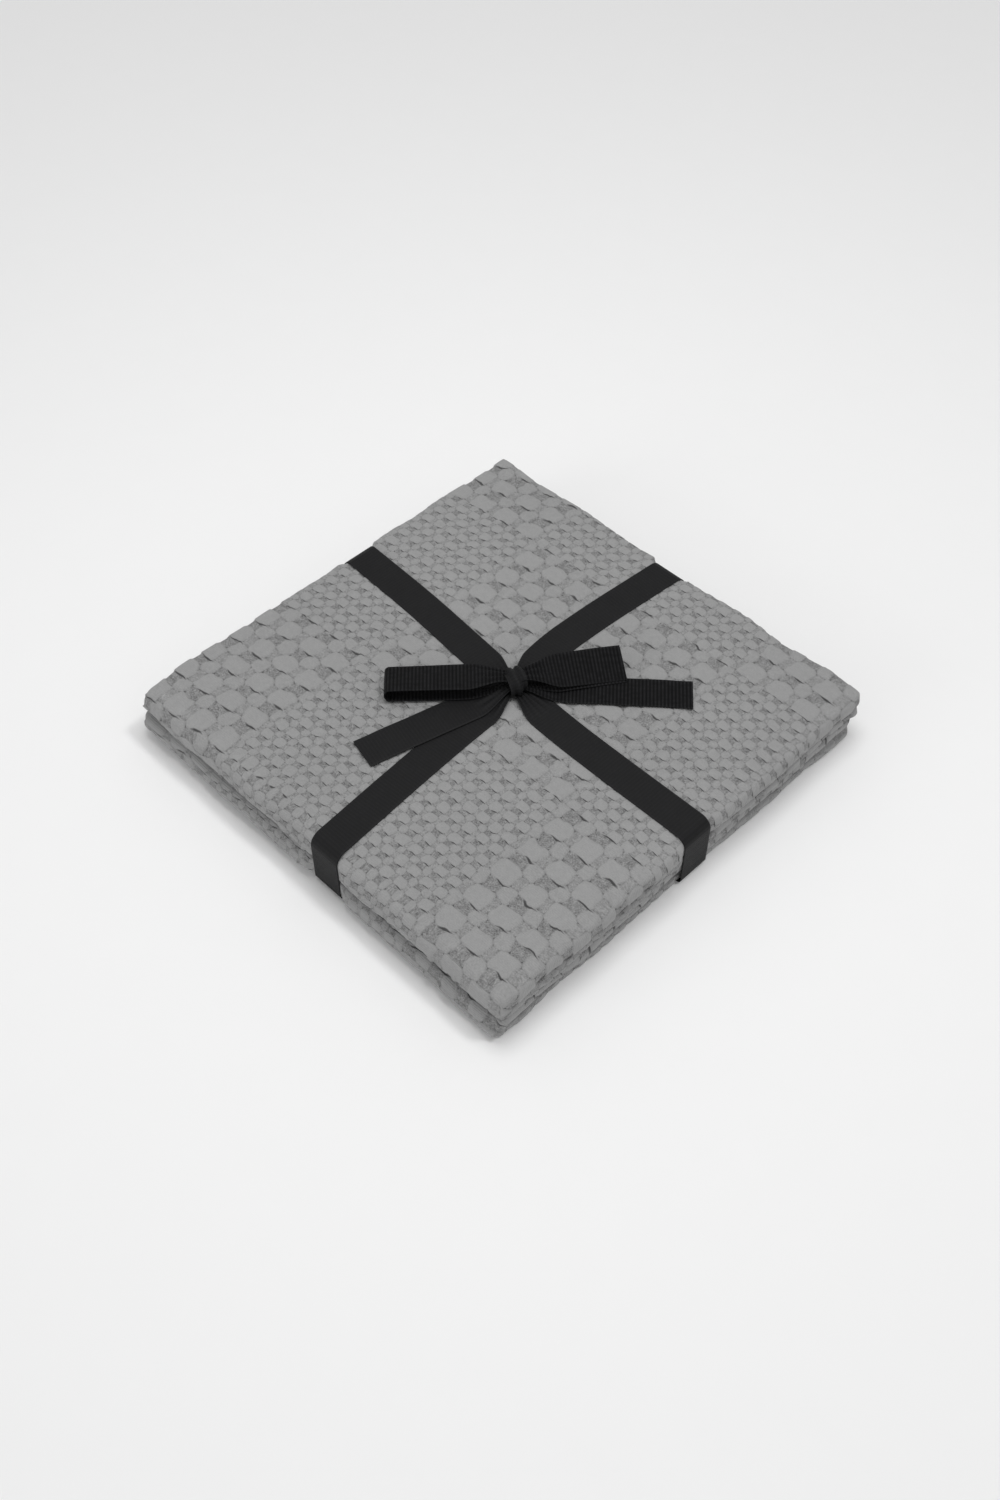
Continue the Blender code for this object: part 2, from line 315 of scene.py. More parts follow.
def fold_over(tree, geometry, axis, both_sides, start, length, height, gap, square):
    """Fold the cloth lying beyond start back over the rest, round a turn of that length.

    height is the packet's thickness before the fold, and gap the air inside it.
    A turn is a half circle where square is 1, and fuller the lower square is.
    """
    parts = xyz(tree, tree.nodes.new("GeometryNodeInputPosition").outputs[0])
    place, z = parts[axis], parts[2]
    side = place.do("SIGN") if both_sides else None
    if both_sides:
        place = place.do("ABSOLUTE")
    past = place - start
    turn = (past / length).clamped() * math.pi
    middle = height + gap / 2
    radius = z.under(middle)
    bulge = turn.do("SINE").do("MAXIMUM", 0.0).do("POWER", square)
    folded = (past.do("MINIMUM", 0.0) + start) + radius * bulge
    folded = folded - (past - length).do("MAXIMUM", 0.0)
    if both_sides:
        folded = folded * side
    parts[axis] = folded
    parts[2] = (radius * turn.do("COSINE")).under(middle)
    return set_position(tree, geometry, position=vector(tree, *parts))


def link_new(name, data):
    """A new object, linked to the scene."""
    made = bpy.data.objects.new(name, data)
    bpy.context.scene.collection.objects.link(made)
    return made


def built_mesh(name, build):
    """The finished mesh of a bmesh, which is freed."""
    mesh = bpy.data.meshes.new(name)
    build.to_mesh(mesh)
    build.free()
    return mesh


def run_tree(base, tree, values):
    """Evaluate a tree on an object and return its result as a plain mesh."""
    modifier = base.modifiers.new("maker", "NODES")
    modifier.node_group = tree
    for item in tree.interface.items_tree:
        if item.in_out == "INPUT" and item.name in values:
            modifier[item.identifier] = values[item.name]
    graph = bpy.context.evaluated_depsgraph_get()
    mesh = bpy.data.meshes.new_from_object(base.evaluated_get(graph), preserve_all_data_layers=True,
                                           depsgraph=graph)
    base.modifiers.remove(modifier)
    return mesh


def place_mesh(name, mesh, body):
    """Link a finished mesh as a piece that rides a body."""
    for face in mesh.polygons:
        face.use_smooth = True
    piece = link_new(name, mesh)
    if body:
        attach(piece, body)
    return piece


# Materials ------------
def new_material(name):
    """A material with its node tree and shader."""
    material = bpy.data.materials.new(name)
    material.use_nodes = True
    return material, material.node_tree, material.node_tree.nodes["Principled BSDF"]


def map_term(tree, map_name):
    """A piece's own map, in metres."""
    node = tree.nodes.new("ShaderNodeUVMap")
    node.uv_map = map_name
    return node.outputs[0]


def noise(tree, place, scale, detail=3.0, roughness=0.6):
    """Noise between 0 and 1."""
    node = tree.nodes.new("ShaderNodeTexNoise")
    node.inputs["Scale"].default_value = scale
    node.inputs["Detail"].default_value = detail
    node.inputs["Roughness"].default_value = roughness
    tree.links.new(place, node.inputs["Vector"])
    return Term(tree, node.outputs[0])


def bump(tree, height, distance, strength):
    """Normals that follow a height; distance is what a height of 1 stands for."""
    node = tree.nodes.new("ShaderNodeBump")
    node.inputs["Strength"].default_value = strength
    node.inputs["Distance"].default_value = distance
    tree.links.new(height.socket, node.inputs["Height"])
    return node.outputs["Normal"]


def tinted(tree, colour, share):
    """A fixed colour times a share that varies over the surface."""
    node = tree.nodes.new("ShaderNodeVectorMath")
    node.operation = "SCALE"
    node.inputs[0].default_value = colour
    tree.links.new(share.socket, node.inputs["Scale"])
    return node.outputs[0]


def terry_cotton(name, settings, cell_shift):
    """Woven cotton: level loops on the raised cells, rough loops in the sunk ones, with painted shade in the
    sunk cells, the creases and the slits.
    """
    material, tree, shader = new_material(name)
    place = map_term(tree, "cloth")
    across, along, _ = xyz(tree, place)
    _, rough_yarn_and_shade, shaded_crease, _ = woven_cells(tree, across + cell_shift[0], along + cell_shift[1],
                                           settings.cell_across, settings.cell_along)
    loops = noise(tree, place, 900.0, 2.0, 0.65)
    clumps = noise(tree, place, 260.0, 2.0, 0.6)
    wash = noise(tree, place, 9.0, 2.0, 0.5)
    threads = wave(along, THREAD_PITCH, "SINE")
    roughen = (rough_yarn_and_shade * 0.85) + 0.15
    tone = ((loops - 0.5) * roughen) * 2.0 + 1.0
    tone = tone + ((clumps - 0.5) * roughen) * 1.3
    tone = tone + (wash - 0.5) * 0.14
    # Painted shade: the sunk cells are darkened in the colour, as they lie in shade.
    tone = tone * (rough_yarn_and_shade * -0.24 + 1.0)
    # Painted shade: the creases round the tiles and the slits between leaves are darkened in the colour.
    tone = tone * (shaded_crease * -0.94 + 1.0).clamped()
    tree.links.new(tinted(tree, settings.colour, tone), shader.inputs["Base Color"])
    height = (loops * roughen) + (clumps * roughen) * 0.9
    height = height + (threads * rough_yarn_and_shade.under(1.0)) * 0.16 - shaded_crease * 0.5
    tree.links.new(bump(tree, height, 0.0011, 0.75), shader.inputs["Normal"])
    rough = (loops * 0.12) + 0.84
    tree.links.new(rough.socket, shader.inputs["Roughness"])
    shader.inputs["Specular IOR Level"].default_value = 0.22
    shader.inputs["Sheen Weight"].default_value = 0.18
    shader.inputs["Sheen Roughness"].default_value = 0.55
    return material


def grosgrain(name, settings, rib_lit_share):
    """Black ribbed ribbon: cross ribs, fine warp threads and a firm selvedge, with painted highlights on the
    rib crests.
    """
    material, tree, shader = new_material(name)
    place = map_term(tree, "ribbon")
    along, across, _ = xyz(tree, place)
    rib = wave(along, settings.rib_pitch)
    fine = wave(along, FINE_RIB_PITCH)
    warp = wave(across, WARP_PITCH, "SINE")
    fuzz = noise(tree, place, 1400.0, 2.0, 0.6)
    worn = noise(tree, place, 60.0, 2.0, 0.5)
    edge = ((across.do("ABSOLUTE") - (settings.width / 2 - SELVEDGE)) / 0.0004).clamped()
    dashes = noise(tree, vector(tree, along * 0.35, across, 0.0), 420.0, 1.0, 0.5)
    # Painted highlight: the rib crests are lighter in the colour, strongly on the pieces whose ribs face the
    # key light.
    tone = ((rib * dashes) * (2.2 * rib_lit_share)) + (0.92 - 0.62 * rib_lit_share)
    tone = tone + (fine * 0.16 + fuzz * 0.25)
    tone = tone + (worn - 0.5) * 0.35
    tone = tone + edge * 0.25
    tree.links.new(tinted(tree, settings.colour, tone), shader.inputs["Base Color"])
    inside = edge.under(1.0)
    height = (rib * inside) * (1.1 * rib_lit_share) + (fine * inside) * 0.5
    height = height + warp * 0.35 + fuzz * 0.5
    tree.links.new(bump(tree, height, 0.00022, 0.6), shader.inputs["Normal"])
    tree.links.new(((fuzz * 0.18) + 0.50).socket, shader.inputs["Roughness"])
    shader.inputs["Specular IOR Level"].default_value = 0.18 - 0.13 * rib_lit_share
    shader.inputs["Sheen Weight"].default_value = 0.02
    shader.inputs["Sheen Roughness"].default_value = 0.35
    return material


# Towels ------------
class FoldPlan:
    """Sizes of the five folds that bring one towel to its packet, in flat coordinates.

    Ends to the middle, sides to the middle, then in half, so the outer face of
    the middle panel shows all round and every hem is inside.
    """

    def __init__(self, thickness, half):
        gaps = (PLY_GAP, PLY_GAP, PLY_GAP)
        self.ply = (thickness - 4 * gaps[0] - 2 * gaps[1] - gaps[2]) / 8
        self.gaps = gaps
        self.high = [self.ply]
        for gap in gaps:
            self.high.append(2 * self.high[-1] + gap)
        radii = [self.high[i] + gaps[i] / 2 for i in range(3)]
        self.turns = [math.pi * radius * TURN_SHARE for radius in radii]
        self.side_start = half - radii[1]
        packet = 2 * half + self.turns[2] / 2 - radii[2]
        self.end_start = packet - radii[0]
        self.half_start = -self.turns[2] / 2
        self.shift = packet - half
        self.flat_half_x = 2 * self.side_start + self.turns[1]
        self.flat_half_y = 2 * self.end_start + self.turns[0]


def fold_tree(name, plan):
    """Weave the relief into the flat cloth, then fold it."""
    sizes = ("Cell across", "Cell along", "Relief", "Shift across", "Shift along")
    tree, inputs = new_geometry_tree(name, sizes)
    size = {s: Term(tree, inputs.outputs[s]) for s in sizes}
    x, y, z = xyz(tree, tree.nodes.new("GeometryNodeInputPosition").outputs[0])
    across = x.under(0.0) + size["Shift across"]
    along = (y - plan.shift) + size["Shift along"]
    level, _, _, small = woven_cells(tree, across, along, size["Cell across"], size["Cell along"])
    shown = tree.nodes.new("GeometryNodeInputNamedAttribute")
    shown.data_type = "FLOAT"
    shown.inputs["Name"].default_value = "shown"
    sunk = level.under(1.0) * (small * -0.30 + 1.0)
    lift = (sunk * size["Relief"]) * Term(tree, shown.outputs["Attribute"])
    geometry = set_position(tree, inputs.outputs["Geometry"], offset=vector(tree, 0.0, 0.0, lift))
    folds = ((1, True, plan.end_start, 0.70), (0, True, plan.side_start, 0.60),
             (1, False, plan.half_start, 0.62))
    for i, (axis, both, start, square) in enumerate(folds):
        geometry = fold_over(tree, geometry, axis, both, start, plan.turns[i], plan.high[i], plan.gaps[i],
                             square)
    x, y, z = xyz(tree, tree.nodes.new("GeometryNodeInputPosition").outputs[0])
    seen = vector(tree, x.under(0.0), y.under(-plan.shift), z)
    geometry = set_position(tree, geometry, position=seen)
    close_tree(tree, inputs, geometry)
    return tree


def grid_lines(half, step, phase):
    """Places of the flat cloth's grid lines: cell borders, and both edges."""
    first = math.ceil((-half - phase) / step + 0.25)
    final = math.floor((half - phase) / step - 0.25)
    return [-half] + [phase + step * i for i in range(first, final + 1)] + [half]


def flat_cloth(name, plan, settings, cell_shift, top_side, cuts):
    """The flat towel as a thin closed body, finely divided where it will be seen."""
    small_x, small_y = settings.cell_across / 2, settings.cell_along / 2
    xs = grid_lines(plan.flat_half_x, small_x, -(BLOCK_AT[0] - cell_shift[0]))
    ys = grid_lines(plan.flat_half_y, small_y, BLOCK_AT[1] - cell_shift[1] + plan.shift)
    build = bmesh.new()
    shown = build.verts.layers.float.new("shown")
    sheets = []
    for z in (0.0, plan.ply):
        sheets.append([[build.verts.new((x, y, z)) for y in ys] for x in xs])
    outer, inner = sheets
    nx, ny = len(xs), len(ys)
    fine = []
    apex_x = plan.side_start + plan.turns[1] / 2
    apex_y = plan.end_start + plan.turns[0] / 2
    wrap = -plan.half_start
    for i in range(nx - 1):
        for j in range(ny - 1):
            face = build.faces.new((outer[i][j], outer[i][j + 1], outer[i + 1][j + 1], outer[i + 1][j]))
            build.faces.new((inner[i][j], inner[i + 1][j], inner[i + 1][j + 1], inner[i][j + 1]))
            x, y = (xs[i] + xs[i + 1]) / 2, (ys[j] + ys[j + 1]) / 2 * top_side
            if abs(x) > apex_x + 0.009 or abs(y) > apex_y + 0.007:
                continue
            panel = y > -wrap - 0.012
            rim = abs(x) > apex_x - 0.016 or y < -apex_y + 0.012
            if panel or rim:
                fine.append(face)
    rim = ([(outer[i][0], inner[i][0]) for i in range(nx)]
           + [(outer[nx - 1][j], inner[nx - 1][j]) for j in range(1, ny)]
           + [(outer[i][ny - 1], inner[i][ny - 1]) for i in range(nx - 2, -1, -1)]
           + [(outer[0][j], inner[0][j]) for j in range(ny - 2, 0, -1)])
    for (low, high), (next_low, next_high) in zip(rim, rim[1:] + rim[:1]):
        build.faces.new((low, next_low, next_high, high))
    for face in fine:
        for vert in face.verts:
            vert[shown] = 1.0
    edges = list({edge for face in fine for edge in face.edges})
    bmesh.ops.subdivide_edges(build, edges=edges, cuts=cuts, use_grid_fill=True)
    many = [face for face in build.faces if len(face.verts) > 4]
    bmesh.ops.triangulate(build, faces=many)
    bmesh.ops.recalc_face_normals(build, faces=build.faces)
    cloth = build.loops.layers.uv.new("cloth")
    for face in build.faces:
        for loop in face.loops:
            loop[cloth].uv = (-loop.vert.co.x, loop.vert.co.y - plan.shift)
    return built_mesh(name, build)


def ripple(x, y, seed, spacing):
    """Smooth unevenness between about -1 and 1, from a few crossed waves."""
    source = np.random.RandomState(seed)
    total = np.zeros_like(x)
    for _ in range(7):
        angle = source.uniform(0, 2 * math.pi)
        length = spacing * source.uniform(0.6, 1.6)
        phase = source.uniform(0, 2 * math.pi)
        total += np.sin((x * math.cos(angle) + y * math.sin(angle)) * 2 * math.pi / length + phase)
    return total / 3.2


def ease(value, low, high):
    """A smooth step from 0 at low to 1 at high."""
    share = np.clip((value - low) / (high - low), 0.0, 1.0)
    return share * share * (3 - 2 * share)


def settle(points, low, thickness, half, slit, seed, droop, bulge):
    """Let the neat packet slump: uneven leaves, soft corners, wavy lips."""
    x, y, z = points.T.copy()
    level = np.clip(z / thickness, 0.0, 1.0)
    power = math.log(slit) / math.log(0.5)
    side = np.maximum(np.abs(x), np.abs(y)) / half
    on_x = np.abs(x) > np.abs(y)
    place = np.where(on_x, y, x) + np.where(on_x, np.sign(x), 3.0 * np.sign(y))
    waver = ripple(place, place * 0.37, seed, 0.060)
    swing = power * (1 + 0.14 * waver * ease(side, 0.55, 1.0))
    level = level ** swing
    # Lips reach out unevenly, the two leaves of a towel separately.
    leaf = ease(level, slit - 0.08, slit + 0.08)
    out = 0.0010 * (ripple(place, leaf * 0.5, seed + 1, 0.075)) - 0.0002
    out += np.where(leaf > 0.5, 0.0006, -0.0004) + bulge
    grow = ease(side, 0.88, 1.0) * out
    reach_x = np.sign(x) * grow * ease(np.abs(x) / half, 0.90, 0.99)
    reach_y = np.sign(y) * grow * ease(np.abs(y) / half, 0.90, 0.99)
    x, y = x + reach_x, y + reach_y
    # Rounded corners.
    square = half - CORNER_RADIUS
    corner_x, corner_y = np.abs(x) - square, np.abs(y) - square
    both = (corner_x > 0) & (corner_y > 0)
    longest = np.maximum(corner_x, corner_y)
    scale = np.where(both, longest / np.maximum(np.hypot(corner_x, corner_y), 1e-9), 1.0)
    x = np.where(both, np.sign(x) * (square + corner_x * scale), x)
    y = np.where(both, np.sign(y) * (square + corner_y * scale), y)
    # The top face drops a little towards its borders and waves gently.
    z = low + thickness * level
    inner = 1 - ease(side, 0.90, 1.02)
    weight = level ** 2
    z -= weight * droop * ease(side, 0.80, 1.04) * (1.0 + 0.6 * waver)
    z -= weight * 0.0006 * inner * (0.5 + 0.5 * ripple(x, y, seed + 2, 0.110))
    return np.stack([x, y, z], axis=1)


def way_aside(way, main, on_top):
    """Distance aside of a band's middle at places along its main axis."""
    mains = np.array([p[0] for p in way])
    sides = np.array([p[1] for p in way])
    below = sides[0] + (main - mains[0]) * (sides[-1] - sides[0]) / (mains[-1] - mains[0])
    over = np.zeros_like(main)
    for shift in (-0.018, -0.009, 0.0, 0.009, 0.018):
        over += np.interp(main + shift, mains, sides) / 5
    near = 1 - ease(np.abs(main), 0.150, 0.172)
    over = over * near + np.interp(main, mains, sides) * (1 - near)
    return np.where(on_top, over, below)


def gather(distance):
    """Share of the ribbon's full width at a distance from the knot."""
    opened = ease(distance, BOW_START * 0.6, BOW_START + GATHER_LENGTH)
    return GATHER_SHARE + (1 - GATHER_SHARE) * opened


def press(points, way, axis, low, width, knot):
    """Push cloth in where a band draws round it."""
    main, aside_at, z = points[:, axis].copy(), points[:, 1 - axis].copy(), points[:, 2].copy()
    middle_z = (BAND_TOP + low) / 2
    off = np.abs(aside_at - way_aside(way, main, z > middle_z))
    half_width = width / 2 * np.where(z > middle_z, gather(np.abs(main - knot)), 1.0)
    beyond = np.maximum(off - half_width - PRESS_MARGIN, 0.0)
    allowed = -PRESS_DEPTH + PRESS_RISE * beyond ** 1.5 + np.where(beyond > PRESS_REACH, 1.0, 0.0)
    turn = np.where(z > middle_z, BAND_TURNS[1], BAND_TURNS[0])
    box_m, box_z = BAND_REACH - turn, (BAND_TOP - low) / 2 - turn
    qm, qz = np.abs(main) - box_m, np.abs(z - middle_z) - box_z
    outside = np.hypot(np.maximum(qm, 0), np.maximum(qz, 0))
    distance = outside + np.minimum(np.maximum(qm, qz), 0.0) - turn
    excess = np.maximum(distance - allowed, 0.0)
    length = np.maximum(outside, 1e-9)
    to_m = np.where(outside > 0, np.maximum(qm, 0) / length, np.where(qm > qz, 1.0, 0.0))
    to_z = np.where(outside > 0, np.maximum(qz, 0) / length, np.where(qm > qz, 0.0, 1.0))
    moved = points.copy()
    moved[:, axis] = main - np.sign(main) * to_m * excess
    moved[:, 2] = z - np.sign(z - middle_z) * to_z * excess
    return moved


def make_towel(name, node, low, thickness, half, shift, slit, cell_shift, top_side, cuts, seed, droop,
               bulge):
    """Make one towel: a flat sheet, woven, folded, slumped and pressed by the bands."""
    settings = bpy.context.scene.towel_settings
    ribbon = bpy.context.scene.ribbon_settings
    plan = FoldPlan(thickness, half)
    raw = link_new(name + "_flat", flat_cloth(name, plan, settings, cell_shift, top_side, cuts))
    material = terry_cotton(name + "_cotton", settings, cell_shift)
    values = {"Cell across": settings.cell_across, "Cell along": settings.cell_along,
              "Relief": settings.relief, "Shift across": cell_shift[0], "Shift along": cell_shift[1],
              "Material": material}
    mesh = run_tree(raw, fold_tree(name + "_folds", plan), values)
    mesh.name = name
    bpy.data.objects.remove(raw)
    points = np.empty(len(mesh.vertices) * 3, np.float32)
    mesh.vertices.foreach_get("co", points)
    points = points.reshape(-1, 3).astype(float)
    points = settle(points, low, thickness, half, slit, seed, droop, bulge)
    points[:, 0] += shift[0]
    points[:, 1] += shift[1]
    points = press(points, BAND_X_WAY, 0, BAND_LOWS[0], ribbon.width, KNOT_AT[0])
    points = press(points, BAND_Y_WAY, 1, BAND_LOWS[1], ribbon.width, KNOT_AT[1])
    points[:, 2] = np.clip(points[:, 2], low, low + thickness)
    mesh.vertices.foreach_set("co", points.astype(np.float32).ravel())
    if "shown" in mesh.attributes:
        mesh.attributes.remove(mesh.attributes["shown"])
    mesh.update()
    piece = place_mesh(name, mesh, "stack")
    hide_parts(node)
    2 * plan.flat_half_x
    2 * plan.flat_half_y


# Ribbon ------------
def strip_mesh(name, rows, widths, thickness, endless=False):
    """A thin closed strip through rows of points, with its map in metres."""
    rows = np.asarray(rows, float)
    count, across = rows.shape[:2]
    if endless:
        before, after = np.roll(rows, 1, axis=0), np.roll(rows, -1, axis=0)
        along_dir = after - before
    else:
        along_dir = np.gradient(rows, axis=0)
    normal = np.cross(along_dir, np.gradient(rows, axis=1))
    normal /= np.maximum(np.linalg.norm(normal, axis=2, keepdims=True), 1e-12)
    outer, inner = rows + normal * thickness / 2, rows - normal * thickness / 2
    middle = rows[:, across // 2]
    steps = np.linalg.norm(np.diff(middle, axis=0), axis=1)
    travelled = np.concatenate([[0.0], np.cumsum(steps)])
    build = bmesh.new()
    ribbon_map = build.loops.layers.uv.new("ribbon")
    place = {}
    grids = []
    for points in (outer, inner):
        grid = [[build.verts.new(points[i, j]) for j in range(across)] for i in range(count)]
        for i in range(count):
            for j in range(across):
                place[grid[i][j]] = (travelled[i], widths[j])
        grids.append(grid)
    top, bottom = grids
    spans = count if endless else count - 1
    for i in range(spans):
        k = (i + 1) % count
        for j in range(across - 1):
            build.faces.new((top[i][j], top[k][j], top[k][j + 1], top[i][j + 1]))
            build.faces.new((bottom[i][j], bottom[i][j + 1], bottom[k][j + 1], bottom[k][j]))
        build.faces.new((top[i][0], bottom[i][0], bottom[k][0], top[k][0]))
        build.faces.new((top[i][-1], top[k][-1], bottom[k][-1], bottom[i][-1]))
    if not endless:
        for i in (0, count - 1):
            for j in range(across - 1):
                build.faces.new((top[i][j], top[i][j + 1], bottom[i][j + 1], bottom[i][j]))
    bmesh.ops.recalc_face_normals(build, faces=build.faces)
    for face in build.faces:
        loops = list(face.loops)
        high = max(place[loop.vert][0] for loop in loops)
        for loop in loops:
            u, v = place[loop.vert]
            if endless and high > travelled[-1] * 0.75 and u < travelled[-1] * 0.25:
                u += travelled[-1] + steps[-1]
            loop[ribbon_map].uv = (u, v)
    return built_mesh(name, build)


def rib_tree():
    """Raise the cross ribs of a strip along its own normals."""
    tree, inputs = new_geometry_tree("ribbon_ribs", ("Pitch", "Height", "Half width"))
    named = tree.nodes.new("GeometryNodeInputNamedAttribute")
    named.data_type = "FLOAT_VECTOR"
    named.inputs["Name"].default_value = "ribbon"
    along, across, _ = xyz(tree, named.outputs["Attribute"])
    pitch, height, half = (Term(tree, inputs.outputs[s]) for s in ("Pitch", "Height", "Half width"))
    swell = ((along / pitch) * (2 * math.pi)).do("COSINE") * 0.5
    inside = ((half - across.do("ABSOLUTE")) / 0.0012).clamped()
    offset = tree.nodes.new("ShaderNodeVectorMath")
    offset.operation = "SCALE"
    tree.links.new(tree.nodes.new("GeometryNodeInputNormal").outputs[0], offset.inputs[0])
    tree.links.new(((swell * inside) * height).socket, offset.inputs["Scale"])
    geometry = set_position(tree, inputs.outputs["Geometry"], offset=offset.outputs[0])
    close_tree(tree, inputs, geometry)
    return tree


def ribbon_piece(name, rows, widths, body, nodes, ribs, endless=False, bend=None):
    """Finish one stretch of ribbon: ribs, material and its object in the scene."""
    settings = bpy.context.scene.ribbon_settings
    raw = link_new(name + "_raw", strip_mesh(name, rows, widths, settings.thickness, endless))
    tree = bpy.data.node_groups.get("ribbon_ribs") or rib_tree()
    # Painted highlight: pieces whose ribs face the key light get the copy with bright rib crests, the others
    # the copy with faint ones.
    key = "ribbon_bright_ribs" if ribs else "ribbon_faint_ribs"
    material = bpy.data.materials.get(key) or grosgrain(key, settings, 1.0 if ribs else 0.25)
    mesh = run_tree(raw, tree, {"Pitch": settings.rib_pitch, "Half width": settings.width / 2,
                                "Height": settings.rib_height if ribs else settings.rib_height * 0.25,
                                "Material": material})
    mesh.name = name
    bpy.data.objects.remove(raw)
    piece = place_mesh(name, mesh, None if bend else body)
    if bend:
        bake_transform(piece)
    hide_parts(*nodes)


def line_length(points, endless=False):
    """Length of the line through the points, and back to its start if it is endless."""
    points = np.asarray(points, float)
    steps = np.linalg.norm(np.diff(points, axis=0), axis=1).sum()
    return float(steps + (np.linalg.norm(points[0] - points[-1]) if endless else 0.0))


def width_places(count):
    """Places across the ribbon's width."""
    half = bpy.context.scene.ribbon_settings.width / 2
    return np.linspace(-half, half, count)


def pleated_row(centre, across, up, widths, share, waves, height, phase=0.0):
    """One row of a strip drawn together to a share of its width, with standing pleats."""
    half = abs(widths[0])
    q = widths / half
    tall = height * math.sqrt(max(1.0 - share * share, 0.0)) * (2 * half / (2 * waves))
    lift = tall * (0.5 + 0.5 * np.cos(math.pi * waves * (q + 1) + phase))
    return centre + np.outer(q * half * share, across) + np.outer(lift, up)


def band_rows(way, axis, low, widths):
    """Rows and length of a band from the knot, round the stack and back to the knot."""
    knot = KNOT_AT[axis]
    top = BAND_TOP
    under, over = BAND_TURNS
    legs = []

    def straight(m0, z0, m1, z1, step):
        count = max(2, int(math.hypot(m1 - m0, z1 - z0) / step))
        for i in range(count):
            legs.append((m0 + (m1 - m0) * i / count, z0 + (z1 - z0) * i / count))

    def arc(middle, middle_z, turn, first):
        for i in range(12):
            angle = math.radians(first - 90.0 * i / 12)
            legs.append((middle + turn * math.cos(angle), middle_z + turn * math.sin(angle)))

    reach = BAND_REACH
    straight(knot + BAND_START, top, knot + BAND_NEAR, top, NEAR_STEP)
    straight(knot + BAND_NEAR, top, reach - over, top, FAR_STEP)
    arc(reach - over, top - over, over, 90)
    straight(reach, top - over, reach, low + under, FAR_STEP)
    arc(reach - under, low + under, under, 0)
    straight(reach - under, low, under - reach, low, UNDER_STEP)
    arc(under - reach, low + under, under, -90)
    straight(-reach, low + under, -reach, top - over, FAR_STEP)
    arc(over - reach, top - over, over, 180)
    straight(over - reach, top, knot - BAND_NEAR, top, FAR_STEP)
    straight(knot - BAND_NEAR, top, knot - BAND_START, top, NEAR_STEP)
    legs.append((knot - BAND_START, top))
    path = np.array(legs)
    on_top = path[:, 1] > (top + low) / 2
    side = way_aside(way, path[:, 0], on_top)
    rows, centres = [], []
    step, bend = 0.002, reach - over
    for i, (main, z) in enumerate(path):
        slope = 0.0
        if abs(main) < bend - 1e-6:
            pair = way_aside(way, np.array([main - step, main + step]), np.array([on_top[i]] * 2))
            slope = (pair[1] - pair[0]) / (2 * step)
            slope *= float(1 - ease(np.array(abs(main)), bend - 0.02, bend))
        near = abs(main - knot) if on_top[i] else 1.0
        share = float(gather(np.array(near)))
        lift = 0.0009 * (1 - float(ease(np.array(near), 0.0, 0.03)))
        if axis == 1 and near < 0.02:
            lift += 0.0008
        if axis == 0:
            centre, across = np.array((main, side[i], z + lift)), np.array((-slope, 1.0, 0.0))
        else:
            centre, across = np.array((side[i], main, z + lift)), np.array((1.0, -slope, 0.0)) * -1
        across /= np.linalg.norm(across)
        centres.append(centre)
        rows.append(pleated_row(centre, across, np.array((0, 0, 1.0)), widths, share, 5, 0.55))
    return rows, line_length(centres)


def bow_point(heading, distance, height):
    """A point of the bow, from the knot and the top of the stack."""
    angle = math.radians(heading)
    return np.array((KNOT_AT[0] + distance * math.cos(angle),
                     KNOT_AT[1] + distance * math.sin(angle), STACK_TOP + height))


def side_of(heading, roll):
    """Direction across a ribbon that leaves the knot at a heading."""
    angle, tilt = math.radians(heading + 90.0), math.radians(roll)
    return np.array((math.cos(tilt) * math.cos(angle), math.cos(tilt) * math.sin(angle), math.sin(tilt)))


def smooth_way(points, step):
    """A smooth curve through control points, as evenly spaced samples."""
    p = np.asarray(points, float)
    padded = np.vstack([2 * p[0] - p[1], p, 2 * p[-1] - p[-2]])
    fine = []
    for i in range(1, len(padded) - 2):
        a, b, c, d = padded[i - 1:i + 3]
        for t in np.linspace(0, 1, 24, endpoint=False):
            fine.append(0.5 * (2 * b + (c - a) * t + (2 * a - 5 * b + 4 * c - d) * t * t
                               + (3 * b - a - 3 * c + d) * t ** 3))
    fine.append(p[-1])
    fine = np.array(fine)
    length = np.concatenate([[0], np.cumsum(np.linalg.norm(np.diff(fine[:, :2], axis=0), axis=1))])
    places = np.linspace(0, length[-1], max(4, int(length[-1] / step)))
    return np.stack([np.interp(places, length, fine[:, k]) for k in range(p.shape[1])], axis=1), length[-1]


